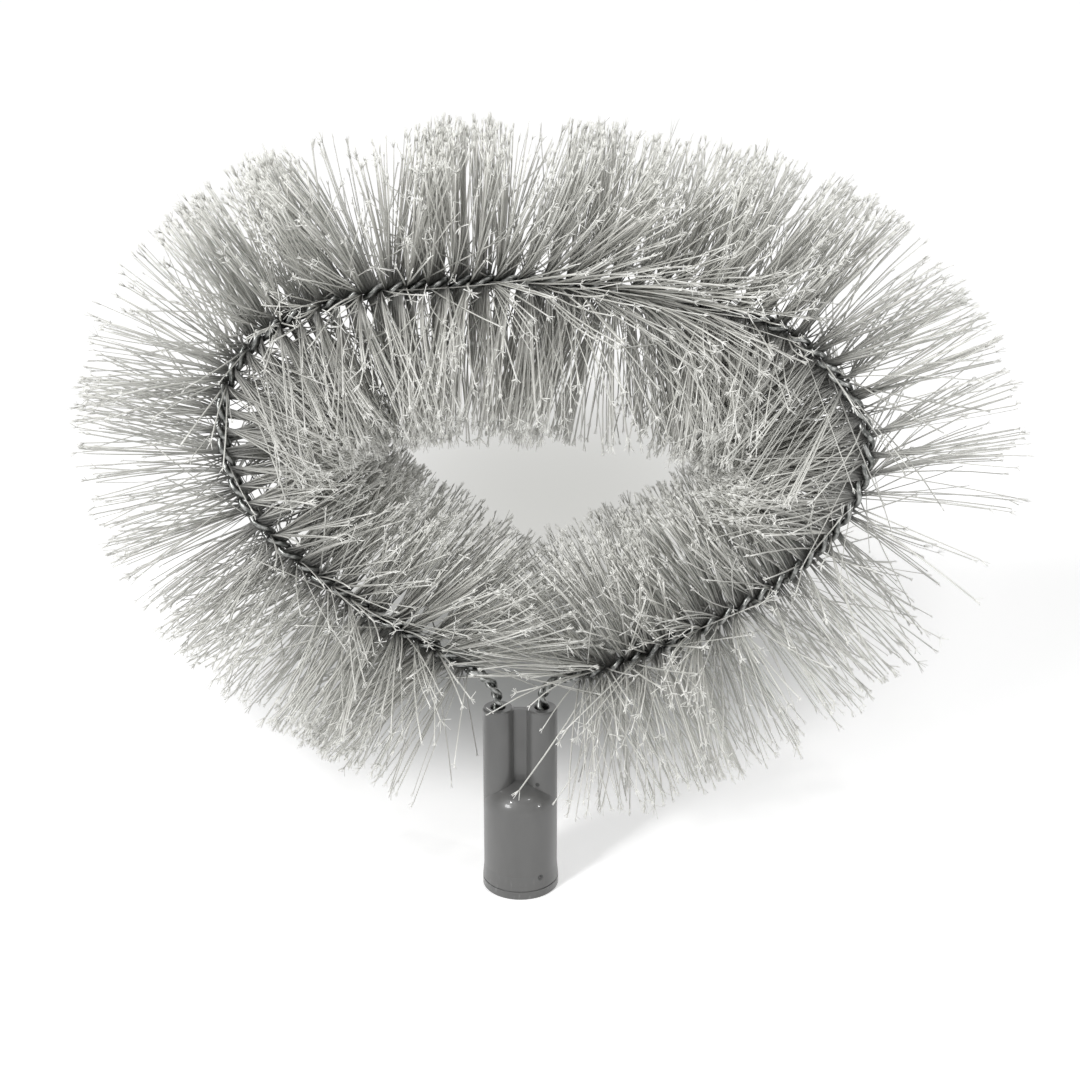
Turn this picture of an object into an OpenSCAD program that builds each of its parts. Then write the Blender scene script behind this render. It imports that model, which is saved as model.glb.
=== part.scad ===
// Cobweb brush head: a moulded socket with twin tubes holds a loop of two
// steel wires twisted together, and the wires clamp the bristles between them.
// The origin is the centre of the socket's bottom rim, +Z is up, and the loop
// lies in the XZ plane, with its front towards -Y. All sizes are millimetres.

/* [Socket] */
// Outer diameter of the socket's round body
socket_d = 30; // [28:0.5:34]
// Height of the line where the body's dome begins
shoulder_z = 37.5; // [36:0.5:44]
// Height of the dome above that line
dome_h = 9.9; // [9.5:0.1:11]
// Radius of the dome's rounded shoulder
dome_shoulder_r = 9; // [7:0.1:9.2]
// Diameter of the bore that takes the handle
handle_bore_d = 24; // [20:0.5:24.5]
// Depth of the handle bore
handle_bore_depth = 35; // [25:0.5:35.5]
// Lead-in chamfer at the mouth of the handle bore
handle_bore_chamfer = 0.8; // [0.3:0.1:1.2]
// How far the bottom rim stands out from the body
rim_out = 0.5; // [0.2:0.1:1]
// Height of the bottom rim's straight band
rim_h = 3.6; // [2:0.1:5]
// Height over which the body flares out to the rim
rim_flare_h = 6; // [3:0.5:9]
// Depth of the fine groove above the rim's band
rim_groove_depth = 0.3; // [0.1:0.05:0.4]
// Height of that groove
rim_groove_h = 0.5; // [0.3:0.1:1]
// Rounding of the rim's bottom edge
rim_round = 0.4; // [0.2:0.1:0.6]

/* [Tubes] */
// Outer diameter of each wire tube
tube_d = 12.4; // [11:0.1:13.4]
// Height of the tubes' tops above the bottom rim
tube_top_z = 80; // [70:1:95]
// Diameter of each tube's bore
tube_bore_d = 5.8; // [5.6:0.1:7]
// Depth of each tube's bore
tube_bore_depth = 32; // [24:0.5:32]
// Bevel on the outer edge of a tube's top
tube_bevel = 0.6; // [0.2:0.1:1]
// Bevel on the mouth of a tube's bore
tube_bore_bevel = 0.4; // [0.2:0.1:0.6]
// Thickness of the web between the tubes
web_t = 2.6; // [1.6:0.1:4]
// Fillet where the web meets a tube
web_fillet = 1; // [0.5:0.1:1.4]
// Diameter of the small moulding pip on the right tube
tube_pip_d = 0.9; // [0.6:0.1:1.4]
// Diameter of the moulding pip near the rim
rim_pip_d = 1.6; // [1:0.1:2]

/* [Wire loop] */
// Overall width of the loop
loop_w = 246; // [225:1:270]
// Height of the loop above the tubes' tops
loop_h = 174.5; // [165:0.5:195]
// Distance of the loop's middle to the right of the socket's axis
loop_shift = 10.4; // [0:0.1:14]
// Diameter of each of the two wires
wire_d = 2.3; // [2:0.05:2.4]
// Length of one full twist where the wires hold bristles, along the loop's outline
wire_pitch = 16.5; // [15:0.1:20]
// Length of one full twist where the wires are bare
bare_pitch = 11; // [10:0.1:15]
// Bare length of wire above the left tube
bare_left = 22; // [20:0.5:40]
// Bare length of wire above the right tube
bare_right = 18; // [18:0.5:40]
// Distance of the wires' cut ends from the floors of the tubes' bores
wire_end_gap = 0.2; // [0.1:0.05:0.5]
// Distance between the two wires where they are bare
bare_gap = 0.2; // [0.15:0.01:0.3]

/* [Bristles] */
// Length of a bristle, from the middle of the wires to its tip
bristle_len = 61; // [40:1:70]
// Thickness of the layer of bristles between the two wires
layer_t = 0.8; // [0.75:0.05:1.2]
// Distance of that layer's packed core from each wire
layer_gap = 0.1; // [0.08:0.01:0.15]
// Width of a strand where it leaves the wires
strand_root = 1; // [0.7:0.05:1.1]
// Width of a strand at its tip, which spreads as the split ends of bristles do
strand_tip = 2.2; // [0.8:0.1:2.4]
// Most that a strand's angle around the wires strays
splay = 9; // [0:1:12]
// Most that a strand leans along the wires
lean = 3; // [0:0.5:3.5]
// Most that a strand's length strays
trim_stray = 1.5; // [0:0.1:3]
// Share by which the bristles are pressed towards the plane of the loop
pressed = 0.45; // [0:0.05:0.5]
// Most that bristles turn aside where they part in a gap
part_angle = 9; // [0:0.5:10]
// Distance from the middle of a gap at which they turn the most
part_reach = 14; // [12:1:20]

/* [Hidden] */
$fn = 96;
// Tufts along the loop, each a slice of the brush in a node of its own
TUFTS = 24;

body_r = socket_d / 2;
rim_r = body_r + rim_out;
tube_r = tube_d / 2;
// The tubes stand flush with the sides of the body
tube_x = body_r - tube_r;
bore_floor_z = tube_top_z - tube_bore_depth;
// The tubes and the web grow out of the body's solid crown from this height
foot_z = handle_bore_depth + 1;
// How far a cut runs past the face that it opens
CUT = 1;

// The dome is a crown arc on the axis that runs smoothly into the shoulder arc
shoulder_x = body_r - dome_shoulder_r;
crown_r = (pow(shoulder_x, 2) + pow(dome_h, 2) - pow(dome_shoulder_r, 2))
          / (2 * (dome_h - dome_shoulder_r));
crown_z = shoulder_z + dome_h - crown_r;
crown_angle = atan2(shoulder_x, shoulder_z - crown_z);

// Places of the two moulding pips, as angles around what they stand on
tube_pip_z = 48;
tube_pip_angle = 253;
rim_pip_z = 9;
rim_pip_angle = 303;

// The wire's route leaves each tube along its axis for neck_h. In between come
// the points that draw the bent loop, from the left tube over the top to the
// right: shares of half the loop's width, and of its height.
neck_h = 8;
LOOP = [[-0.215, 0.09], [-0.41, 0.165], [-0.605, 0.26], [-0.80, 0.365], [-0.95, 0.49],
        [-1.01, 0.64], [-0.99, 0.79], [-0.85, 0.905], [-0.62, 0.97], [-0.36, 0.997],
        [-0.085, 1.003], [0.19, 0.985], [0.45, 0.957], [0.70, 0.917], [0.89, 0.80],
        [1.02, 0.655], [0.98, 0.505], [0.83, 0.355], [0.615, 0.245], [0.39, 0.155],
        [0.17, 0.09], [0.04, 0.075]];
function loop_point(p) = [loop_shift + p[0] * loop_w / 2, tube_top_z + p[1] * loop_h];
function neck(side) = [for (h = [-neck_h, 0, neck_h]) [side * tube_x, tube_top_z + h]];
knots = concat(neck(-1), [for (p = LOOP) loop_point(p)], [for (i = [2:-1:0]) neck(1)[i]]);

// A smooth cubic curve through the loop's knots, sampled and measured
PER_SPAN = 12;
function blend(p, t) = (pow(1 - t, 3) * p[0] + (3 * pow(t, 3) - 6 * t * t + 4) * p[1]
                        + (-3 * pow(t, 3) + 3 * t * t + 3 * t + 1) * p[2]
                        + pow(t, 3) * p[3]) / 6;
wire_bottom_z = bore_floor_z + wire_end_gap;
route = concat([[-tube_x, wire_bottom_z]],
               [for (i = [0:len(knots) - 4], j = [0:PER_SPAN - 1])
                   blend([for (k = [0:3]) knots[i + k]], j / PER_SPAN)],
               [[tube_x, tube_top_z], [tube_x, wire_bottom_z]]);
steps = [for (i = [1:len(route) - 1]) norm(route[i] - route[i - 1])];
function running(d) = [for (i = 0, a = 0; i <= len(d); a = a + (i < len(d) ? d[i] : 0), i = i + 1) a];
mileage = running(steps);
route_len = mileage[len(mileage) - 1];
x_at = [for (i = [0:len(route) - 1]) [mileage[i], route[i][0]]];
z_at = [for (i = [0:len(route) - 1]) [mileage[i], route[i][1]]];
function unit(v) = v / norm(v);
// A point of the route, its direction, and the direction square to it that
// points into the loop. Square to both is the Y axis.
function at(s) = [lookup(s, x_at), 0, lookup(s, z_at)];
function ahead(s) = unit(at(s + 1) - at(s - 1));
function inward(s) = cross([0, 1, 0], ahead(s));
Y = [0, 1, 0];

// Stations along the route, eight to each full twist: [distance, angle, radius
// of the wires' path around the middle]. The twist is left-handed.
TWIST_STEPS = 8;
bristles_from = tube_top_z - wire_bottom_z + bare_left;
bristles_to = route_len - (tube_top_z - wire_bottom_z) - bare_right;
function counted(length, pitch) = round(TWIST_STEPS * length / pitch);
outline = [for (p = LOOP) loop_point(p)];
outline_len = running([for (i = [1:len(outline) - 1]) norm(outline[i] - outline[i - 1])])[len(outline) - 1];
n_left = counted(bristles_from, bare_pitch);
n_main = counted(outline_len, wire_pitch);
n_right = counted(route_len - bristles_to, bare_pitch);
bare_twist_r = (wire_d + bare_gap) / 2;
twist_r = (wire_d + layer_t) / 2;
function spread(k) = k < 0 || k > n_main ? bare_twist_r : twist_r;
function distance(k) =
    k < 0 ? bristles_from * (1 + k / n_left)
    : k > n_main ? bristles_to + (route_len - bristles_to) * (k - n_main) / n_right
    : bristles_from + (bristles_to - bristles_from) * k / n_main;
function twist(k) = -360 / TWIST_STEPS * k;

// Direction at an angle around the route, from the inward one towards +Y
function around(s, a) = cos(a) * inward(s) + sin(a) * Y;

// One wire: a six-sided tube that winds around the route
WIRE_SIDES = 6;
module wound_wire(phase) {
    first = -n_left;
    last = n_main + n_right;
    function middle(k) = at(distance(k)) + spread(k) * around(distance(k), twist(k) + phase);
    function along(k) = k == first || k == last ? ahead(distance(k))
                        : unit(middle(k + 1) - middle(k - 1));
    function ring(k) =
        let (out = around(distance(k), twist(k) + phase),
             t = along(k),
             p = unit(out - t * (out * t)),
             q = cross(t, p))
        [for (j = [0:WIRE_SIDES - 1])
            let (a = 360 * (j + 0.5) / WIRE_SIDES)
            middle(k) + wire_d / 2 * (cos(a) * p + sin(a) * q)];
    n = last - first;
    points = [for (k = [first:last]) each ring(k)];
    walls = [for (k = [0:n - 1], j = [0:WIRE_SIDES - 1])
                let (a = k * WIRE_SIDES + j, b = k * WIRE_SIDES + (j + 1) % WIRE_SIDES)
                each [[a, a + WIRE_SIDES, b + WIRE_SIDES], [a, b + WIRE_SIDES, b]]];
    z = n * WIRE_SIDES;
    ends = [for (j = [1:WIRE_SIDES - 2]) each [[0, j, j + 1], [z, z + j + 1, z + j]]];
    polyhedron(points, concat(walls, ends));
}

module wire_strand_a() {
    color([0.42, 0.43, 0.43]) wound_wire(0);
}

module wire_strand_b() {
    color([0.52, 0.53, 0.53]) wound_wire(180);
}

// Bristles. A strand leaves the packed core between the wires square to them,
// and past its collar it runs straight to its tip. The core is a bar that
// twists with the wires, and each tuft is fused to its own slice of it.
// Its edges, where the strands grow, lie core_out past its flat faces.
core_half_t = layer_t / 2 - layer_gap;
core_out = 0.05;
core_half_w = core_half_t + core_out;
slice_gap = 0.2;
collar_gap = 0.6;
collar_r = twist_r + wire_d / 2 + collar_gap;
// Each side of every step has a strand, but for one place in five
SKIP = 5;
strays = rands(-1, 1, 6 * (n_main + 1), 7);

// How far the bristles may reach in one direction before they meet those of
// another stretch: the circle that touches the route here and meets it again
// has its centre there. They use this share of the way to it.
ROOM_USED = 0.75;
// Route points nearer than this belong to the stretch itself
NEAR = 8;
ENDLESS = 1000;
function room(s, direction) =
    let (here = at(s))
    min(concat([ENDLESS], [for (p = route)
        let (c = [p[0], 0, p[1]] - here, across = c * direction)
        if (across > 0 && norm(c) > NEAR) c * c / (2 * across)]));
// Angle that a strand keeps to the plane of the loop, so as to stay in reach
function bent_away(reach) = acos(min(1, ROOM_USED * reach / bristle_len));
// The angle a strand takes: those that point in or out where there is too
// little room are fanned out evenly towards the loop's front and back
function fanned(a, kept_in, kept_out) =
    let (size = abs(a), sign = a < 0 ? -1 : 1)
    size < 90
    ? sign * (kept_in + size * (1 - kept_in / 90))
    : sign * (180 - kept_out - (180 - size) * (1 - kept_out / 90));
function wrapped(a) = a - 360 * round(a / 360);
function flattened(a) = a - pressed * sin(2 * a) * 90 / PI;

// Gaps in the brush, as shares of the way along the bristles, and their side of
// the wires: 1 points into the loop, -1 out of it. On both sides of a gap the
// strands turn away from it, most at part_reach from its middle.
PARTINGS = [[0.389, -1], [0.535, 1]];
function parted(s, a) =
    [for (p = PARTINGS)
        let (x = (s - bristles_from - p[0] * (bristles_to - bristles_from)) / part_reach)
        part_angle * x * exp((1 - x * x) / 2) * max(0, p[1] * cos(a))]
    * [for (p = PARTINGS) 1];

module bristle_tuft(number) {
    first = round(n_main * (number - 1) / TUFTS);
    last = round(n_main * number / TUFTS);
    function core_distance(k) = distance(k) + (k == first ? slice_gap : k == last ? -slice_gap : 0) / 2;
    function core_ring(k) =
        let (s = core_distance(k),
             u = around(s, twist(k)),
             v = around(s, twist(k) + 90))
        [for (c = [[1, 1], [-1, 1], [-1, -1], [1, -1]])
            at(s) + c[0] * core_half_t * u + c[1] * core_half_w * v];
    core = [for (k = [first:last]) each core_ring(k)];
    function corner(k, j) = (k - first) * 4 + j % 4;

    // Steps and sides that have a strand: side 1 is one edge of the core, side
    // -1 the other. Its root is the triangle a, b, c on that edge.
    function has_strand(k, side) = (2 * k + (side + 1) / 2) % SKIP != 0;
    places = [for (k = [first:last - 1], side = [1, -1]) if (has_strand(k, side)) [k, side]];
    function strand(k, side) =
        let (n = 3 * (2 * k + (side + 1) / 2),
             s = (distance(k) + distance(k + 1)) / 2,
             square_on = (twist(k) + twist(k + 1)) / 2 + side * 90,
             out = around(s, square_on),
             kept_in = bent_away(room(s, inward(s))),
             kept_out = bent_away(room(s, -inward(s))),
             a = fanned(flattened(wrapped(square_on + splay * strays[n])), kept_in, kept_out),
             // In crowded places, and towards the inside, they lean less
             leaning = parted(s, a)
                 + lean * strays[n + 1] * (1 - max(0, cos(a))) * (1 - max(kept_in, kept_out) / 90),
             way = unit(cos(leaning) * around(s, a) + sin(leaning) * ahead(s)),
             collar = at(s) + collar_r * out,
             length = bristle_len - collar_r + trim_stray * strays[n + 2])
        concat(strand_ring(collar, unit(out + way), ahead(s), strand_root),
               strand_ring(collar + length * way, way, ahead(s), strand_tip));
    function strand_ring(middle, way, along, width) =
        let (p = unit(along - way * (way * along)), q = cross(way, p))
        [for (angle = [120, 240, 0])
            middle + width / sqrt(3) * (cos(angle) * p + sin(angle) * q)];
    strands = [for (place = places) each strand(place[0], place[1])];

    function tube(p, q) = [for (i = [0:2])
        let (j = (i + 2) % 3) each [[p[i], p[j], q[j]], [p[i], q[j], q[i]]]];
    function strand_faces(n) =
        let (k = places[n][0],
             j = places[n][1] > 0 ? 0 : 2,
             root = [corner(k, j), corner(k, j + 1), corner(k + 1, j + 1)],
             collar = [for (i = [0:2]) len(core) + 6 * n + i],
             tip = [for (i = collar) i + 3])
        concat([[corner(k, j), corner(k + 1, j), corner(k + 1, j + 1)]],
               tube(root, collar), tube(collar, tip), [[tip[0], tip[2], tip[1]]]);
    faces = concat(
        [for (n = [0:len(places) - 1]) each strand_faces(n)],
        [for (k = [first:last - 1], side = [1, -1]) if (!has_strand(k, side))
            let (j = side > 0 ? 0 : 2)
            each [[corner(k, j), corner(k + 1, j), corner(k + 1, j + 1)],
                  [corner(k, j), corner(k + 1, j + 1), corner(k, j + 1)]]],
        [for (k = [first:last - 1], j = [1, 3])
            each [[corner(k, j), corner(k + 1, j), corner(k, j + 1)],
                  [corner(k, j + 1), corner(k + 1, j), corner(k + 1, j + 1)]]],
        [[0, 1, 2], [0, 2, 3]],
        [[corner(last, 0), corner(last, 2), corner(last, 1)],
         [corner(last, 0), corner(last, 3), corner(last, 2)]]);
    color([0.70, 0.70, 0.67]) polyhedron(concat(core, strands), faces);
}

// Socket: half outline of the round body with its dome, seen from the axis
module body_outline() {
    flare_z = rim_h + rim_groove_h;
    reach = 2 * crown_r;
    polygon([[0, 0], [rim_r - rim_round, 0], [rim_r, rim_round], [rim_r, rim_h],
             [rim_r - rim_groove_depth, rim_h], [rim_r - rim_groove_depth, flare_z],
             [rim_r, flare_z], [body_r, flare_z + rim_flare_h],
             [body_r, shoulder_z], [shoulder_x, shoulder_z],
             [crown_r * sin(crown_angle), crown_z + crown_r * cos(crown_angle)],
             [0, crown_z + crown_r * cos(crown_angle)]]);
    intersection() {
        translate([0, crown_z]) circle(crown_r);
        polygon([[0, crown_z], [0, crown_z + reach],
                 [reach * sin(crown_angle), crown_z + reach * cos(crown_angle)]]);
    }
    intersection() {
        translate([shoulder_x, shoulder_z]) circle(dome_shoulder_r);
        translate([shoulder_x, shoulder_z]) square(dome_shoulder_r + 1);
    }
}

// Fillet between the web and one tube, seen from above
module web_fillet_outline() {
    reach = tube_r + web_fillet;
    rise = web_t / 2 + web_fillet;
    x = tube_x - sqrt(reach * reach - rise * rise);
    difference() {
        polygon([[x, 0], [tube_x, 0],
                 [tube_x - tube_r / reach * (tube_x - x), tube_r / reach * rise], [x, web_t / 2]]);
        translate([x, rise]) circle(web_fillet);
    }
}

module tube(side) {
    translate([side * tube_x, 0, 0]) {
        translate([0, 0, foot_z]) cylinder(h = tube_top_z - tube_bevel - foot_z, r = tube_r);
        translate([0, 0, tube_top_z - tube_bevel])
            cylinder(h = tube_bevel, r1 = tube_r, r2 = tube_r - tube_bevel);
    }
}

module tube_bore(side) {
    r = tube_bore_d / 2;
    translate([side * tube_x, 0, 0]) {
        translate([0, 0, bore_floor_z]) cylinder(h = tube_bore_depth + CUT, r = r);
        translate([0, 0, tube_top_z - tube_bore_bevel])
            cylinder(h = 2 * tube_bore_bevel, r1 = r, r2 = r + 2 * tube_bore_bevel);
    }
}

module handle_bore() {
    r = handle_bore_d / 2;
    translate([0, 0, -CUT]) cylinder(h = handle_bore_depth + CUT, r = r);
    translate([0, 0, -handle_bore_chamfer])
        cylinder(h = 2 * handle_bore_chamfer, r1 = r + 2 * handle_bore_chamfer, r2 = r);
}

module socket() {
    color([0.47, 0.48, 0.47])
    difference() {
        union() {
            rotate_extrude() body_outline();
            for (side = [-1, 1]) tube(side);
            translate([0, 0, foot_z])
                linear_extrude(tube_top_z - tube_bevel - foot_z) {
                    square([2 * tube_x, web_t], center = true);
                    for (a = [0, 1], b = [0, 1]) mirror([a, 0]) mirror([0, b]) web_fillet_outline();
                }
            translate([tube_x + tube_r * cos(tube_pip_angle), tube_r * sin(tube_pip_angle), tube_pip_z])
                sphere(d = tube_pip_d);
            translate([body_r * cos(rim_pip_angle), body_r * sin(rim_pip_angle), rim_pip_z])
                sphere(d = rim_pip_d);
        }
        handle_bore();
        for (side = [-1, 1]) tube_bore(side);
    }
}

socket();
wire_strand_a();
wire_strand_b();
for (i = [1:TUFTS]) bristle_tuft(i);
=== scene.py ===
# %% [markdown]
# A cobweb brush, finished around its working model.
#
# The real brush is two steel wires twisted together. As they twist they clamp
# thousands of plastic filaments between them, and both ends of the twisted wire
# are pressed into the twin tubes of a moulded socket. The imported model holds
# these pieces at their real size, and nothing here moves them. Three things are
# left to do: rounder wires, the filaments, because the model has a few hundred
# plain strands where the brush has thousands, and the finish of each surface.

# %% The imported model
import math

import bpy
import numpy as np
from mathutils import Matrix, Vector


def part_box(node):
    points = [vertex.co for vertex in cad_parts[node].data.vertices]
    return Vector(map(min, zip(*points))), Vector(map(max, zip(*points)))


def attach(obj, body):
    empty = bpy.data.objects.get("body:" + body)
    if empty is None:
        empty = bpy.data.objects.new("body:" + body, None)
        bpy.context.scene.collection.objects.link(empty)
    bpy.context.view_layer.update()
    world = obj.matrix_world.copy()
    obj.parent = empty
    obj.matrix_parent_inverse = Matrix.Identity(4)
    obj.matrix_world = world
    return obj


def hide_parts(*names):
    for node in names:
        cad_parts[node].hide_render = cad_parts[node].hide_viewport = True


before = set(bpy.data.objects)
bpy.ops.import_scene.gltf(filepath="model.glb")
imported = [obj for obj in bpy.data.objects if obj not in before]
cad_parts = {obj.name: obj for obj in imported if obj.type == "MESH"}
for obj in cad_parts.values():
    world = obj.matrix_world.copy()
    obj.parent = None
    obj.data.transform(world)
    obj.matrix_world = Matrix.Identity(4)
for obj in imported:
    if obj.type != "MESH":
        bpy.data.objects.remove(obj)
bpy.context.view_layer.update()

MM = 0.001
print("pieces in the model:", len(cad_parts))

# %% [markdown]
# The wires, the filaments and the fibres of their split tips are all tubes that
# run along a path. Blender could make each one from a curve object, but ten
# thousand curves are slow. One function that works on whole arrays makes any
# number of tubes at once, and one more puts them into a single mesh.

# %% Tubes along many paths
def unit(v):
    """Each vector divided by its own length."""
    return v / np.linalg.norm(v, axis=-1, keepdims=True)


def tubes(paths, radii, sides, outward):
    """Closed tubes along n paths of k points each: their points, walls and end faces.

    A ring is a circle square to the path: centre + radius * (cos a * p + sin a * q),
    for a in equal steps. p is the part of `outward` that is square to the path's
    direction t, and q is t cross p, so the faces turn their fronts outwards.
    """
    t = unit(np.gradient(paths, axis=1))
    p = unit(outward - t * (outward * t).sum(-1, keepdims=True))
    q = np.cross(t, p)
    a = 2 * np.pi * np.arange(sides) / sides
    spokes = np.cos(a)[:, None] * p[:, :, None] + np.sin(a)[:, None] * q[:, :, None]
    points = paths[:, :, None] + radii[:, :, None, None] * spokes
    n, k = paths.shape[:2]
    here = np.arange(n * k * sides).reshape(n, k, sides)
    beside = np.roll(here, -1, axis=2)
    walls = np.stack([here[:, :-1], beside[:, :-1], beside[:, 1:], here[:, 1:]], -1)
    ends = np.concatenate([here[:, 0, ::-1], here[:, -1]])
    return points.reshape(-1, 3), walls.reshape(-1, 4), ends


def new_piece(name, parts, **traits):
    """One smooth mesh from several results of tubes(), with a number per point for each trait."""
    points = np.concatenate([part[0] for part in parts])
    firsts = np.cumsum([0] + [len(part[0]) for part in parts[:-1]])
    faces = [f + first for first, part in zip(firsts, parts) for f in part[1:]]
    sizes = np.concatenate([np.full(len(f), f.shape[1]) for f in faces])
    corners = np.concatenate([f.ravel() for f in faces])
    mesh = bpy.data.meshes.new(name)
    mesh.vertices.add(len(points))
    mesh.vertices.foreach_set("co", points.ravel())
    mesh.loops.add(len(corners))
    mesh.loops.foreach_set("vertex_index", corners)
    mesh.polygons.add(len(sizes))
    mesh.polygons.foreach_set("loop_start", np.cumsum(sizes) - sizes)
    mesh.update(calc_edges=True)
    mesh.polygons.foreach_set("use_smooth", np.ones(len(sizes), bool))
    for trait, values in traits.items():
        mesh.attributes.new(trait, "FLOAT", "POINT").data.foreach_set("value", values.ravel())
    piece = bpy.data.objects.new(name, mesh)
    bpy.context.scene.collection.objects.link(piece)
    return piece

# %% [markdown]
# The wires leave the left tube straight up, run round the loop over the top, and
# go down into the right tube. The model draws that route as a smooth curve
# through 22 points, given as shares of half the loop's width and of its
# height. The same points are repeated here.

# %% The route of the wires
tubes_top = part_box("socket")[1].z
wire_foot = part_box("wire_strand_a")[0].z
TUBE_X = 8.8 * MM
LOOP_W = 246 * MM
LOOP_H = 174.5 * MM
LOOP_SHIFT = 10.4 * MM
NECK_H = 8 * MM
POINTS_PER_SPAN = 24
LOOP = np.array([
    [-0.215, 0.09], [-0.41, 0.165], [-0.605, 0.26], [-0.80, 0.365], [-0.95, 0.49],
    [-1.01, 0.64], [-0.99, 0.79], [-0.85, 0.905], [-0.62, 0.97], [-0.36, 0.997],
    [-0.085, 1.003], [0.19, 0.985], [0.45, 0.957], [0.70, 0.917], [0.89, 0.80],
    [1.02, 0.655], [0.98, 0.505], [0.83, 0.355], [0.615, 0.245], [0.39, 0.155],
    [0.17, 0.09], [0.04, 0.075]])


def smooth_curve(knots, per_span):
    """A uniform cubic B-spline. Each point blends four knots in turn, with the weights
    (1-t)^3, 3t^3 - 6t^2 + 4, -3t^3 + 3t^2 + 3t + 1 and t^3, all divided by 6."""
    t = np.linspace(0, 1, per_span, endpoint=False)[:, None]
    weights = np.hstack([(1 - t)**3, 3 * t**3 - 6 * t**2 + 4,
                         -3 * t**3 + 3 * t**2 + 3 * t + 1, t**3]) / 6
    spans = np.stack([knots[i:len(knots) - 3 + i] for i in range(4)], 1)
    return np.einsum("tk,skd->std", weights, spans).reshape(-1, knots.shape[1])


neck = tubes_top + NECK_H * np.array([-1, 0, 1])
loop_points = np.array([LOOP_SHIFT, tubes_top]) + LOOP * [LOOP_W / 2, LOOP_H]
knots = np.concatenate([np.stack([neck * 0 - TUBE_X, neck], 1), loop_points,
                        np.stack([neck * 0 + TUBE_X, neck], 1)[::-1]])
route = np.concatenate([[[-TUBE_X, wire_foot]], smooth_curve(knots, POINTS_PER_SPAN),
                        [[TUBE_X, tubes_top], [TUBE_X, wire_foot]]])
miles = np.append(0, np.cumsum(np.linalg.norm(np.diff(route, axis=0), axis=1)))
ROUTE_LEN = miles[-1]


def at(s):
    """The point of the route that lies s metres of wire from the left end."""
    return np.stack([np.interp(s, miles, route[:, 0]), 0 * s, np.interp(s, miles, route[:, 1])], -1)


def ahead(s):
    """The direction of the route: from the point 1 mm before s to the one 1 mm after."""
    return unit(at(s + MM) - at(s - MM))


def around(s, angle):
    """The direction square to the route at an angle: cos * inward + sin * (+Y), where
    inward, into the loop, is +Y cross the direction of the route."""
    side = np.array([0.0, 1.0, 0.0])
    inward = np.cross(side, ahead(s))
    return np.cos(angle)[..., None] * inward + np.sin(angle)[..., None] * side


# %% [markdown]
# The two wires wind round that route on opposite sides of it, with a left-hand
# twist: tight where the wire is bare, above the tubes, and longer where it holds
# filaments. The angle is a function of the distance along the wire, so that the
# filaments can be laid exactly between the wires later.

# %% The twist
BARE_LEFT = 22 * MM
BARE_RIGHT = 18 * MM
PITCH = 16.5 * MM
BARE_PITCH = 11 * MM
STEPS = 8
in_tube = tubes_top - wire_foot
bristles_from = in_tube + BARE_LEFT
bristles_to = ROUTE_LEN - in_tube - BARE_RIGHT


def whole_steps(length, pitch):
    """Turns in a length, rounded to the eighths of a turn that the model counts in.
    Where filaments are, the model counts along the straight lines between the 22 points."""
    return round(STEPS * length / pitch) / STEPS


turns_left = whole_steps(bristles_from, BARE_PITCH)
outline_len = np.linalg.norm(np.diff(loop_points, axis=0), axis=1).sum()
turns_main = whole_steps(outline_len, PITCH)
turns_right = whole_steps(ROUTE_LEN - bristles_to, BARE_PITCH)


def twist(s):
    """Angle of wire a around the route, in radians: steady within each stretch."""
    return -2 * np.pi * np.interp(s, [0, bristles_from, bristles_to, ROUTE_LEN],
                                  [-turns_left, 0, turns_main, turns_main + turns_right])


print("turns of the twist: %.3f" % (turns_left + turns_main + turns_right))

# %% [markdown]
# Each wire is a round tube along a helix. The model's wire has six flat sides and
# eight rings to a turn, which is enough to collide with but shows its corners up
# close, so a round one with many more rings stands in for it.

# %% The two wires
WIRE_D = 2.3 * MM
BARE_GAP = 0.2 * MM
LAYER_T = 0.8 * MM
RINGS_PER_TURN = 22
WIRE_SIDES = 12
EASE = 2.2 * MM


def twist_radius(s):
    """Distance of each wire's middle from the route: the wires part where filaments begin."""
    bare, held = (WIRE_D + BARE_GAP) / 2, (WIRE_D + LAYER_T) / 2
    return np.interp(s, [bristles_from - EASE, bristles_from, bristles_to, bristles_to + EASE],
                     [bare, held, held, bare])


def wire_path(s, phase):
    """The helix of one wire: the route plus the twist's radius in the twist's direction."""
    return at(s) + twist_radius(s)[:, None] * around(s, twist(s) + phase)


rings = int(RINGS_PER_TURN * (turns_left + turns_main + turns_right))
s_wire = np.linspace(0, ROUTE_LEN, rings)
wires = []
for letter, phase in (("a", 0), ("b", np.pi)):
    path = wire_path(s_wire, phase)
    radii = np.full((1, rings), WIRE_D / 2)
    outward = around(s_wire, twist(s_wire) + phase)
    wire = new_piece("wire_" + letter, [tubes(path[None], radii, WIRE_SIDES, outward[None])])
    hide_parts("wire_strand_" + letter)
    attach(wire, "root")
    wires.append(wire)
    print(wire.name, "has", len(wire.data.polygons), "faces")

# %% [markdown]
# A filament is drawn plastic, about 0.7 mm thick. It leaves the wires square to
# them, on the line between the two, so the filaments follow the twist and stand
# in fans with open wedges between them. The brush has been stored flat, which
# has pressed many of them towards the plane of the loop. Filaments also lean and
# bend together in locks. Here and there they have been parted, swept aside,
# ruffled, shortened or thinned out. Each such place is a row in a list: its middle
# along the wire and how far it reaches, both in millimetres, the side of the wire
# that it is on, and how strong it is there, in degrees or as a share.

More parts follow.
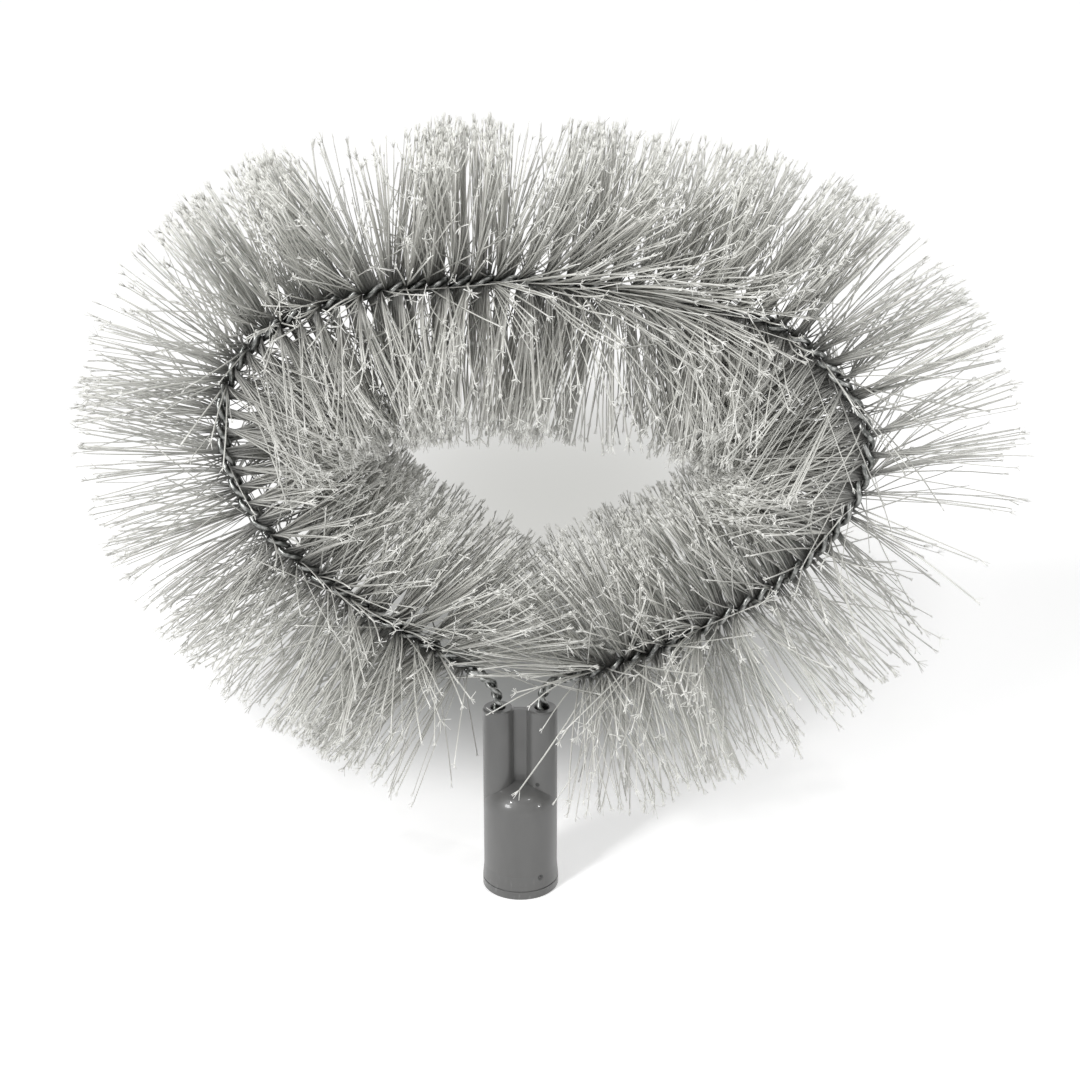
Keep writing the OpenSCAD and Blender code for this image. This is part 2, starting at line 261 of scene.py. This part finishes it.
# %% How the filaments stand
FILAMENT_LEN = 60.5 * MM
LONGEST = 1.02
LENGTH_SPREAD = 0.05
ANGLE_SPREAD = math.radians(5)
LEAN_SPREAD = math.radians(4)
LOOSE_SHARE = 0.05
LOOSE_LEAN = math.radians(35)
MOST_LEAN = 1.3
LEAST_SWEPT = 0.3
PRESSED = 0.45
LOCK_LEN = 3.2 * MM
LOCK_ANGLE = math.radians(3.5)
LOCK_LEAN = math.radians(5.5)
LOCK_LENGTH = 0.018
LOCK_BEND = 0.06
BEND = 0.032
IN, OUT, FRONT = 0.0, math.pi, -math.pi / 2

# Places where filaments part to both sides, and the most that they turn
PARTINGS = [(289, 9, OUT, 17), (377, 10, IN, 16), (452, 8, OUT, 10), (524, 9, OUT, 13),
            (226, 9, OUT, 12), (590, 8, OUT, 10), (118, 8, OUT, 9)]
# Places where they are swept along the wire, and the most that they turn
SWEEPS = [(383, 15, FRONT + 0.3, 66), (352, 20, FRONT - 0.5, 34), (400, 36, OUT, 27),
          (62, 14, IN, -50), (648, 14, IN, 50), (62, 16, OUT, 20), (500, 20, FRONT, 25),
          (238, 12, FRONT, -20)]
# Places where they stand in disorder on every side, and the spread of their turns
UNTIDY = [(646, 17, 17), (56, 12, 12), (225, 12, 6), (455, 12, 6), (112, 34, 7), (580, 36, 4)]
# Places where they are shorter, and the share of their length that is missing
SHORTER = [(215, 32, OUT, 0.07), (150, 30, OUT, 0.03)]
# Places where they are fewer, and the share of them that is left out
SPARSE = [(500, 45, OUT, 0.55), (575, 40, OUT, 0.5), (205, 40, OUT, 0.45), (640, 30, OUT, 0.3),
          (120, 40, OUT, 0.2), (180, 38, FRONT, 0.55), (492, 40, FRONT, 0.6)]


def offset(s, middle, reach):
    """How far along the wire s lies from a place's middle, over its reach, both in mm."""
    return (s / MM - middle) / reach


def bump(x):
    """The bell curve exp(-x^2 / 2)."""
    return np.exp(-x * x / 2)


def facing(angle, side):
    """1 where an angle points to a side of the wire, falling to 0 a quarter turn from it."""
    return np.maximum(0, np.cos(angle - side))


def lean_of(s, angle, rng):
    """How far filaments lean along the wire, in radians. A parting adds its angle times
    x * exp(0.5 - x^2 / 2), for x the distance from its middle over its reach, which is
    greatest at x = 1 and points away from the middle. A sweep adds its angle times a
    bell curve, and each filament takes a random share of that."""
    lean = LEAN_SPREAD * rng.normal(size=s.shape)
    for middle, reach, side, most in PARTINGS:
        x = offset(s, middle, reach)
        lean += math.radians(most) * x * math.exp(0.5) * bump(x) * facing(angle, side)
    for middle, reach, side, most in SWEEPS:
        share = rng.uniform(LEAST_SWEPT, 1, s.shape)
        swept = bump(offset(s, middle, reach)) * facing(angle, side)**1.5
        lean += math.radians(most) * swept * share
    return lean


locks = np.random.default_rng(4)
lock_shape = (int(ROUTE_LEN / LOCK_LEN) + 2, 2)
lock_angle = LOCK_ANGLE * locks.normal(size=lock_shape)
lock_lean = LOCK_LEAN * locks.normal(size=lock_shape)
lock_length = 1 + LOCK_LENGTH * locks.normal(size=lock_shape)
lock_bend = LOCK_BEND * locks.normal(size=lock_shape + (3,))
print("locks of filaments:", lock_angle.size)

# %% [markdown]
# The tip of each filament is flagged: a cutter has split its last few
# millimetres into finer fibres that spread like a tiny broom, which is what
# holds the dust. So a filament is a stem of three sides, and from its end come
# thinner tubes. A few dozen faces each is all that thousands of filaments allow.

# %% Flagged filaments
STEM_R = 0.33 * MM
FIBRE_R = 0.15 * MM
FIBRES = 6
FORK = 0.16
FLAG_LEN = 3.1 * MM
THICK_SPREAD = 0.22
FLAG_SPREAD = 0.3
FORK_SPREAD = 0.4
FRONT_FORK = 2.2
# Painted light: how much paler the filaments that point towards the viewer are made.
FRONT_PAINTED_LIGHT = 1.3
STATIONS = np.array([0, 0.27, 0.52, 0.77, 1])


def flagged(paths, rng):
    """Stems along n paths of k points, and the fibres that spread from their ends, as two
    results of tubes(). Two numbers for each point: its share of the filament's length,
    from 0 at the wires to 1 at the tips, and the tone of its filament, which is random,
    raised as painted light where the filament points towards the viewer. Those
    filaments also have wider tips."""
    count, k = paths.shape[:2]
    thick = np.clip(1 + THICK_SPREAD * rng.normal(size=(count, 1)), 0.6, 1.6)
    tapering = np.linspace(1, 0.85, k)
    stems = tubes(paths, STEM_R * thick * tapering, 3, rng.normal(size=(count, 1, 3)))
    run = np.linalg.norm(np.diff(paths, axis=1), axis=-1).cumsum(1)
    flag = FLAG_LEN * np.exp(FLAG_SPREAD * rng.normal(size=count))
    whole = run[:, -1:] + flag[:, None]
    stem_share = np.hstack([0 * whole, run]) / whole

    end = paths[:, None, -1]
    going = unit(paths[:, None, -1] - paths[:, None, -2])
    towards_viewer = np.maximum(0, -unit(paths[:, -1] - paths[:, 0])[:, 1])
    fork = FORK * np.exp(FORK_SPREAD * rng.normal(size=(count, 1, 1)))
    fork *= 1 + FRONT_FORK * towards_viewer[:, None, None]
    go = unit(going + fork * rng.normal(size=(count, FIBRES, 3)))
    reach = (flag[:, None] * rng.uniform(0.7, 1.05, (count, FIBRES)))[..., None]
    ends = np.stack([end - go * STEM_R, end + go * reach], 2).reshape(-1, 2, 3)
    fibres = tubes(ends, FIBRE_R * np.repeat(thick, FIBRES, 0) * [1, 0.8], 3,
                   rng.normal(size=(count * FIBRES, 1, 3)))
    fibre_share = np.repeat(np.hstack([stem_share[:, -1:], whole / whole]), FIBRES, 0)

    share = np.concatenate([np.repeat(stem_share, 3), np.repeat(fibre_share, 3)])
    # Painted light: filaments that point towards the viewer get a paler tone.
    tone = rng.normal(size=count) + FRONT_PAINTED_LIGHT * towards_viewer
    tones = np.concatenate([np.repeat(tone, 3 * k), np.repeat(tone, 6 * FIBRES)])
    return [stems, fibres], share, tones

# %% [markdown]
# Each stretch of wire gets its filaments at once. They start in the wires, where
# the twist tells their direction, and those that would run into the socket are
# left out, as they would be bent aside or cut. Fewer are left to point straight
# at the viewer or away, square to the loop's plane, and fewer stand at both ends.
# The last few lie by themselves, pulled out of the fans, and are listed one by one.

# %% The filaments in the wires
TUFTS = 24
PER_TUFT = 550
# Share left out of those square to the loop's plane, on the wires' two sides
THINNED = np.array([0.75, 0.4])
SPARSE_END = 16 * MM
SPARSE_AT_END = 0.6
BODY_R = 15 * MM
CLEAR = 1 * MM
TESTED = np.linspace(0.15, 1, 9)


def curved(root, way, bend, reach):
    """A bent line: root + way * reach + bend * reach^2 / filament length."""
    return (root[:, None] + way[:, None] * reach[..., None]
            + bend[:, None] * (reach**2 / FILAMENT_LEN)[..., None])


def meets_socket(points):
    """True for each path with a point in the socket's width and height: in it, in front
    of it or behind it."""
    x, z = points[..., 0], points[..., 2]
    return ((np.abs(x) < BODY_R + CLEAR) & (z < tubes_top + CLEAR)).any(-1)


def grow(first, last, count, rng):
    """The paths of the filaments that a stretch of wire holds."""
    s = rng.uniform(first, last, count)
    side = rng.integers(0, 2, count)
    lock = (s / LOCK_LEN).astype(int)
    angle = (twist(s) + np.pi / 2 + np.pi * side + ANGLE_SPREAD * rng.normal(size=count)
             + lock_angle[lock, side])
    thinned = THINNED[side] * np.abs(np.cos(angle - FRONT))**3
    from_end = np.minimum(s - bristles_from, bristles_to - s)
    sparse = SPARSE_AT_END * (1 - np.clip(from_end / SPARSE_END, 0, 1))
    for middle, reach, where, most in SPARSE:
        sparse += most * bump(offset(s, middle, reach)) * facing(angle, where)
    keep = rng.uniform(size=count) > thinned + sparse
    angle = angle - PRESSED * np.sin(2 * angle) / 2
    lean = lean_of(s, angle, rng) + lock_lean[lock, side]
    lean += LOOSE_LEAN * rng.normal(size=count) * (rng.uniform(size=count) < LOOSE_SHARE)
    for middle, reach, spread in UNTIDY:
        ruffled = math.radians(spread) * bump(offset(s, middle, reach))
        lean += ruffled * rng.normal(size=count)
        angle += 1.5 * ruffled * rng.normal(size=count)
    lean = np.clip(lean, -MOST_LEAN, MOST_LEAN)
    way = np.cos(lean)[:, None] * around(s, angle) + np.sin(lean)[:, None] * ahead(s)
    bend = BEND * rng.normal(size=(count, 3)) + lock_bend[lock, side]
    bend -= way * (bend * way).sum(-1, keepdims=True)
    short = LENGTH_SPREAD * np.abs(rng.normal(size=count))
    for middle, reach, where, most in SHORTER:
        short += most * bump(offset(s, middle, reach)) * facing(angle, where)
    length = FILAMENT_LEN * np.minimum(lock_length[lock, side], 1) * (LONGEST - short)
    paths = curved(at(s), way, bend, (length - FLAG_LEN)[:, None] * STATIONS)
    blocked = meets_socket(curved(at(s), way, bend, length[:, None] * TESTED))
    return paths[keep & ~blocked]


# Filaments pulled out of the fans, in mm: root along the wire, middle, tip
PULLED = [
    (644, (18, -12, 78), (0, -21, 54)), (62, (-1, -8, 113), (24, -12, 114)),
    (641, (16, -10, 110), (-2, -14, 115)), (645, (26, -18, 72), (14, -30, 54)),
    (646, (34, -8, 69), (31, -14, 49)), (640, (43, 6, 60), (45, 8, 29)),
    (352, (37, -6, 255), (63, -10, 254)), (340, (26, -8, 256), (52, -9, 258)),
    (372, (66, -22, 246), (88, -42, 243)), (378, (62, -26, 240), (70, -48, 242)),
    (383, (66, -28, 239), (65, -52, 236)), (376, (73, -20, 249), (92, -34, 260)),
    (384, (62, -26, 234), (63, -50, 224))]


def pulled(root, middle, tip):
    """A parabola from the root, through the middle at half its time, to the tip."""
    t = np.linspace(0, 1, len(STATIONS))[:, None]
    start, middle, tip = at(np.array(root * MM)), np.array(middle) * MM, np.array(tip) * MM
    return (1 - t) * (1 - 2 * t) * start + 4 * t * (1 - t) * middle + t * (2 * t - 1) * tip


rng = np.random.default_rng(21)
edges = np.linspace(bristles_from, bristles_to, TUFTS + 1)
tufts = []
for number in range(TUFTS):
    first, last = edges[number:number + 2]
    paths = [grow(first, last, PER_TUFT, rng)]
    paths += [pulled(*stray)[None] for stray in PULLED if first <= stray[0] * MM < last]
    parts, share, tones = flagged(np.concatenate(paths), rng)
    tuft = new_piece("filaments_%02d" % (number + 1), parts, share=share, tone=tones)
    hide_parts("bristle_tuft_%02d" % (number + 1))
    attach(tuft, "root")
    tufts.append(tuft)
faces_each = 3 * (len(STATIONS) - 1) + 2 + FIBRES * 5
all_faces = sum(len(tuft.data.polygons) for tuft in tufts)
print("filaments:", all_faces // faces_each, "with", faces_each, "faces each")

# %% [markdown]
# Materials are sums: this much of one grey, that much of another, times a mask.
# A small class lets such a sum be written as Python writes it, and adds the Math
# node for each sign. Every other node comes from one method, which takes the
# node's type, its settings and the values or links of its sockets.

# %% A language for finishes
class Signal:
    """A number that a material works out at each point, with Python's arithmetic."""

    def __init__(self, finish, socket):
        self.finish = finish
        self.socket = socket

    def math(self, operation, first, second):
        node = self.finish.node("ShaderNodeMath", {"operation": operation}, {0: first, 1: second})
        return node["Value"]

    def __add__(self, other):
        return self.math("ADD", self, other)

    def __sub__(self, other):
        return self.math("SUBTRACT", self, other)

    def __rsub__(self, other):
        return self.math("SUBTRACT", other, self)

    def __mul__(self, other):
        return self.math("MULTIPLY", self, other)

    def within(self, low, high):
        """Stretches low..high to 0..1 and stops there, with soft ends."""
        node = self.finish.node("ShaderNodeMapRange", {"interpolation_type": "SMOOTHSTEP"},
                                {"Value": self, "From Min": low, "From Max": high})
        return node["Result"]

    __radd__ = __add__
    __rmul__ = __mul__


class Made:
    """A node that has been made. Its outputs are read by name, as Signals."""

    def __init__(self, finish, node):
        self.finish = finish
        self.node = node

    def __getitem__(self, output):
        return Signal(self.finish, self.node.outputs[output])


class Finish:
    """A material that starts with its Principled shader's constants."""

    def __init__(self, name, **constants):
        self.material = bpy.data.materials.new(name)
        self.material.use_nodes = True
        self.tree = self.material.node_tree
        self.shader = self.tree.nodes["Principled BSDF"]
        for socket, value in constants.items():
            self.shader.inputs[socket.replace("_", " ")].default_value = value

    def node(self, kind, settings=None, sockets=None):
        node = self.tree.nodes.new(kind)
        for key, value in (settings or {}).items():
            setattr(node, key, value)
        for key, value in (sockets or {}).items():
            self.put(node.inputs[key], value)
        return Made(self, node)

    def put(self, socket, value):
        """Links a Signal to a socket, or sets a plain value on it."""
        if isinstance(value, Signal):
            self.tree.links.new(value.socket, socket)
        else:
            socket.default_value = value

    def set(self, **values):
        """Feeds sockets of the Principled shader."""
        for name, value in values.items():
            self.put(self.shader.inputs[name.replace("_", " ")], value)

    def place(self):
        """Where a point lies on the object, in metres."""
        return self.node("ShaderNodeTexCoord")["Object"]

    def noise(self, per_metre, detail=2, stretch=(1, 1, 1)):
        """Soft noise from 0 to 1, with so many waves to a metre along each axis."""
        spread = self.node("ShaderNodeVectorMath", {"operation": "MULTIPLY"},
                           {0: self.place(), 1: stretch})["Vector"]
        return self.node("ShaderNodeTexNoise", {},
                         {"Vector": spread, "Scale": per_metre, "Detail": detail})["Fac"]

    def mix(self, amount, first, second):
        """A colour between two: first where amount is 0, second where it is 1."""
        node = self.node("ShaderNodeMix", {"data_type": "RGBA"}, {"Factor": amount})
        for socket, value in ((node.node.inputs[6], first), (node.node.inputs[7], second)):
            self.put(socket, value)
        return Signal(self, node.node.outputs[2])

    def trait(self, name):
        """A number that the mesh holds for each point."""
        return self.node("ShaderNodeAttribute", {"attribute_name": name})["Fac"]

    def relief(self, height, distance, strength=1.0):
        """The surface direction that bumps of this height, in metres, give."""
        return self.node("ShaderNodeBump", {},
                         {"Height": height, "Distance": distance, "Strength": strength})["Normal"]


def grey(value, warm=0.0):
    """A grey as a linear colour, a touch yellower where warm is above 0."""
    return (value * (1 + warm), value * (1 + warm * 0.9), value * (1 - warm), 1)

# %% [markdown]
# The socket is injection-moulded in a mid-grey plastic, dull under a thin glossy
# skin. It isn't even: it is a little cloudy where the melt flowed, and so is its
# gloss. Fine grain breaks up the highlights, handling has rubbed it slightly
# lighter near the rim that stands on the ground, and its two moulding pips, one
# near that rim and one on the right tube, carry dark spots of painted shade.

# %% Moulded plastic
plastic = Finish("moulded_grey_plastic", IOR=1.45, Coat_Weight=0.4, Coat_Roughness=0.08)
cloud = plastic.noise(90, detail=3, stretch=(1, 1, 0.35))
grain = plastic.noise(5200, detail=2)
scuffs = plastic.noise(700, detail=4, stretch=(1, 1, 0.25)).within(0.56, 0.72)
point = plastic.node("ShaderNodeSeparateXYZ", {}, {"Vector": plastic.place()})
near_rim = 1 - point["Z"].within(0.0, 0.012)
RIM_PIP = (8.17, -12.58, 9)
TUBE_PIP = (6.99, -5.93, 48)


def near(place, reach):
    """1 at a place on the socket, falling to 0 at this reach from it, in millimetres."""
    x, y, z = [(point[axis] - mm * MM) * (1 / (reach * MM)) for axis, mm in zip("XYZ", place)]
    return 1 - (x * x + y * y + z * z).within(0.25, 1)


# Painted shade: near-black spots at the two moulding pips, for the shade around these small bumps.
painted_pip_shade = near(RIM_PIP, 1.5) + near(TUBE_PIP, 1.1)
body = plastic.mix(cloud.within(0.25, 0.75), grey(0.107, 0.01), grey(0.125, 0.01))
rubbed = plastic.mix(scuffs * near_rim * 0.3, body, grey(0.3))
plastic.set(
    Base_Color=plastic.mix(painted_pip_shade * 0.85, rubbed, grey(0.02)),
    Roughness=0.33 + cloud * 0.08 + scuffs * 0.05,
    Normal=plastic.relief(grain + cloud * 3, 0.00002, 0.35))
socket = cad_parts["socket"]
socket.data.materials.clear()
socket.data.materials.append(plastic.material)
print("socket finish:", len(plastic.tree.nodes), "nodes")

# %% [markdown]
# The wires are galvanised steel. Zinc leaves a bluish grey skin, bright where it
# has been drawn smooth and dull where it has dirt and grease from the twisting
# machine, so both the colour and the gloss change in short patches along a wire.

# %% Galvanised wire
steel = Finish("galvanised_steel", Metallic=1.0)
patches = steel.noise(420, detail=3).within(0.35, 0.65)
drawn = steel.noise(2600, detail=2)
steel.set(
    Base_Color=steel.mix(patches, (0.10, 0.105, 0.10, 1), (0.36, 0.365, 0.355, 1)),
    Roughness=0.24 + patches * 0.10 + drawn * 0.12,
    Normal=steel.relief(drawn, 0.00004, 0.4))
for wire in wires:
    wire.data.materials.append(steel.material)
print("wire finish:", len(steel.tree.nodes), "nodes")

# %% [markdown]
# The filaments are clear plastic with a grey tint. Their colour is painted darker
# deep in the brush, near the wires, as painted shade, and lighter towards the tips,
# and the split tips, full of tiny cracks, turn white. So the colour runs from root
# to tip along each filament, and each one has a tone of its own, because light
# comes through some more than others; those that point towards the viewer have a
# paler tone, as painted light.

# %% Clear plastic filaments
filament = Finish("clear_filament_plastic", Roughness=0.42, IOR=1.53)
along = filament.trait("share")
tone_and_painted_light = filament.trait("tone")
streak = filament.noise(260, detail=2)
# Painted shade: darker towards the roots, lighter towards the tips, with each filament's tone and
# noise on top.
painted_shade_and_tone = (along * 0.75 + tone_and_painted_light * 0.2 + (streak - 0.5) * 0.4).within(-0.2, 1.0)
white = (along + tone_and_painted_light * 0.03).within(0.9, 1.06)
stem_colour = filament.mix(painted_shade_and_tone, grey(0.46, 0.03), grey(0.70, 0.03))
# Painted shade: the stems turn dark grey close to the wires.
deep = 1 - along.within(0.02, 0.2)
stem_colour = filament.mix(deep * 0.8, stem_colour, grey(0.2, 0.02))
filament.set(Base_Color=filament.mix(white, stem_colour, grey(0.95, 0.02)))
for tuft in tufts:
    tuft.data.materials.append(filament.material)
print("filament finish:", len(filament.tree.nodes), "nodes")

# %% [markdown]
# The brush stands on a plain pale floor. The light is a studio's: one broad lamp
# in front, to the left and above, three small bright boxes, which the socket's
# dome reflects as spots, a faint lamp behind, and an even glow all round. The
# floor is white to the camera wherever no shadow falls: it is a pale surface,
# with a little light of its own that only the camera sees. Two soft grey pools of
# painted shade on it, one far behind the brush and a darker one close behind the
# socket, are the shadowed grey ground that shows through the loop and beside the
# tubes.

# %% Floor and light
FLOOR_SIZE = 14
floor_mesh = bpy.data.meshes.new("floor")
corners = FLOOR_SIZE / 2 * np.array([[-1, -1, 0], [1, -1, 0], [1, 1, 0], [-1, 1, 0]])
floor_mesh.from_pydata(corners.tolist(), [], [(0, 1, 2, 3)])
floor = bpy.data.objects.new("floor", floor_mesh)
bpy.context.scene.collection.objects.link(floor)
paper = Finish("floor_paper", Roughness=0.9, Emission_Strength=1.0)
rays = paper.node("ShaderNodeLightPath")
seen = rays["Is Camera Ray"] + rays["Is Glossy Ray"] + rays["Is Transmission Ray"]
spot = paper.node("ShaderNodeSeparateXYZ", {}, {"Vector": paper.place()})


def painted_shade_pool(x, y, wide, deep):
    """A pool of painted shade on the floor: 1 in the middle of an ellipse, falling softly to 0
    outside it.
    """
    across = (spot["X"] - x) * (1 / wide)
    along = (spot["Y"] - y) * (1 / deep)
    return 1 - (across * across + along * along).within(-0.3, 1)


# Painted shade on the floor: a pale grey pool far behind the brush and a dark one close behind the
# socket.
painted_shade_far = painted_shade_pool(0.02, 0.42, 0.24, 0.42)
painted_shade_near = painted_shade_pool(0.0, 0.22, 0.18, 0.16)
ground_and_painted_shade = paper.mix(painted_shade_far, grey(1.0), (0.62, 0.62, 0.59, 1))
ground_and_painted_shade = paper.mix(painted_shade_near, ground_and_painted_shade, (0.14, 0.145, 0.14, 1))
own_light = seen * (1 - painted_shade_far) * (1 - painted_shade_near)
paper.set(Base_Color=paper.mix(seen, grey(0.8), ground_and_painted_shade),
          Emission_Color=paper.mix(own_light, grey(0.0), grey(0.34)))
floor_mesh.materials.append(paper.material)


MIDDLE = Vector((0, 0, 0.1))
BOX_AWAY = 0.9


def lamp(name, kind, place, energy, **settings):
    """A lamp at a place, turned towards the middle of the brush's foot."""
    data = bpy.data.lights.new(name, kind)
    data.energy = energy
    for key, value in settings.items():
        setattr(data, key, value)
    thing = bpy.data.objects.new(name, data)
    thing.location = place
    thing.rotation_euler = (MIDDLE - Vector(place)).to_track_quat("-Z", "Y").to_euler()
    bpy.context.scene.collection.objects.link(thing)


lamp("key", "SUN", (-1.15, -1.25, 1.0), 1.4, angle=math.radians(16))
for name, way, watts, size in (("left_box", (-0.43, -0.53, 0.73), 2.2, 0.08),
                               ("right_box", (0.39, -0.29, 0.88), 1.6, 0.045),
                               ("low_box", (0.87, -0.44, 0.24), 1.0, 0.04)):
    lamp(name, "AREA", MIDDLE + BOX_AWAY * Vector(way), watts, size=size)
lamp("back", "SUN", (0.7, 1.4, 1.2), 0.35, angle=math.radians(40))

world = bpy.data.worlds.new("studio")
bpy.context.scene.world = world
world.use_nodes = True
nodes = world.node_tree.nodes
links = world.node_tree.links
glow = nodes["Background"]
backdrop = nodes.new("ShaderNodeBackground")
for source, strength in ((glow, 0.38), (backdrop, 1.0)):
    source.inputs["Color"].default_value = (1, 1, 1, 1)
    source.inputs["Strength"].default_value = strength
either = nodes.new("ShaderNodeMixShader")
path_kind = nodes.new("ShaderNodeLightPath")
seen = path_kind.outputs["Is Camera Ray"]
for kind in ("Is Glossy Ray", "Is Transmission Ray"):
    most = nodes.new("ShaderNodeMath")
    most.operation = "MAXIMUM"
    links.new(seen, most.inputs[0])
    links.new(path_kind.outputs[kind], most.inputs[1])
    seen = most.outputs[0]
links.new(seen, either.inputs[0])
links.new(glow.outputs[0], either.inputs[1])
links.new(backdrop.outputs[0], either.inputs[2])
links.new(either.outputs[0], nodes["World Output"].inputs["Surface"])
print("lamps:", len(bpy.data.lights), "and the glow of the world")

# %% [markdown]
# The camera stands where the photographer's did: three quarters of a metre in
# front, a little above the brush, and pitched down at it. The distance and pitch
# follow from the socket's real size and from how its rims open in the picture.

# %% Camera
camera = bpy.data.cameras.new("camera")
camera.lens = 70
camera.sensor_width = 36
eye = bpy.data.objects.new("camera", camera)
eye.location = (0.008, -0.755, 0.454)
PITCHED_DOWN = math.radians(21.81)
eye.rotation_euler = (math.pi / 2 - PITCHED_DOWN, 0, 0)
bpy.context.scene.collection.objects.link(eye)
bpy.context.scene.camera = eye
bpy.context.scene.view_settings.view_transform = "Standard"
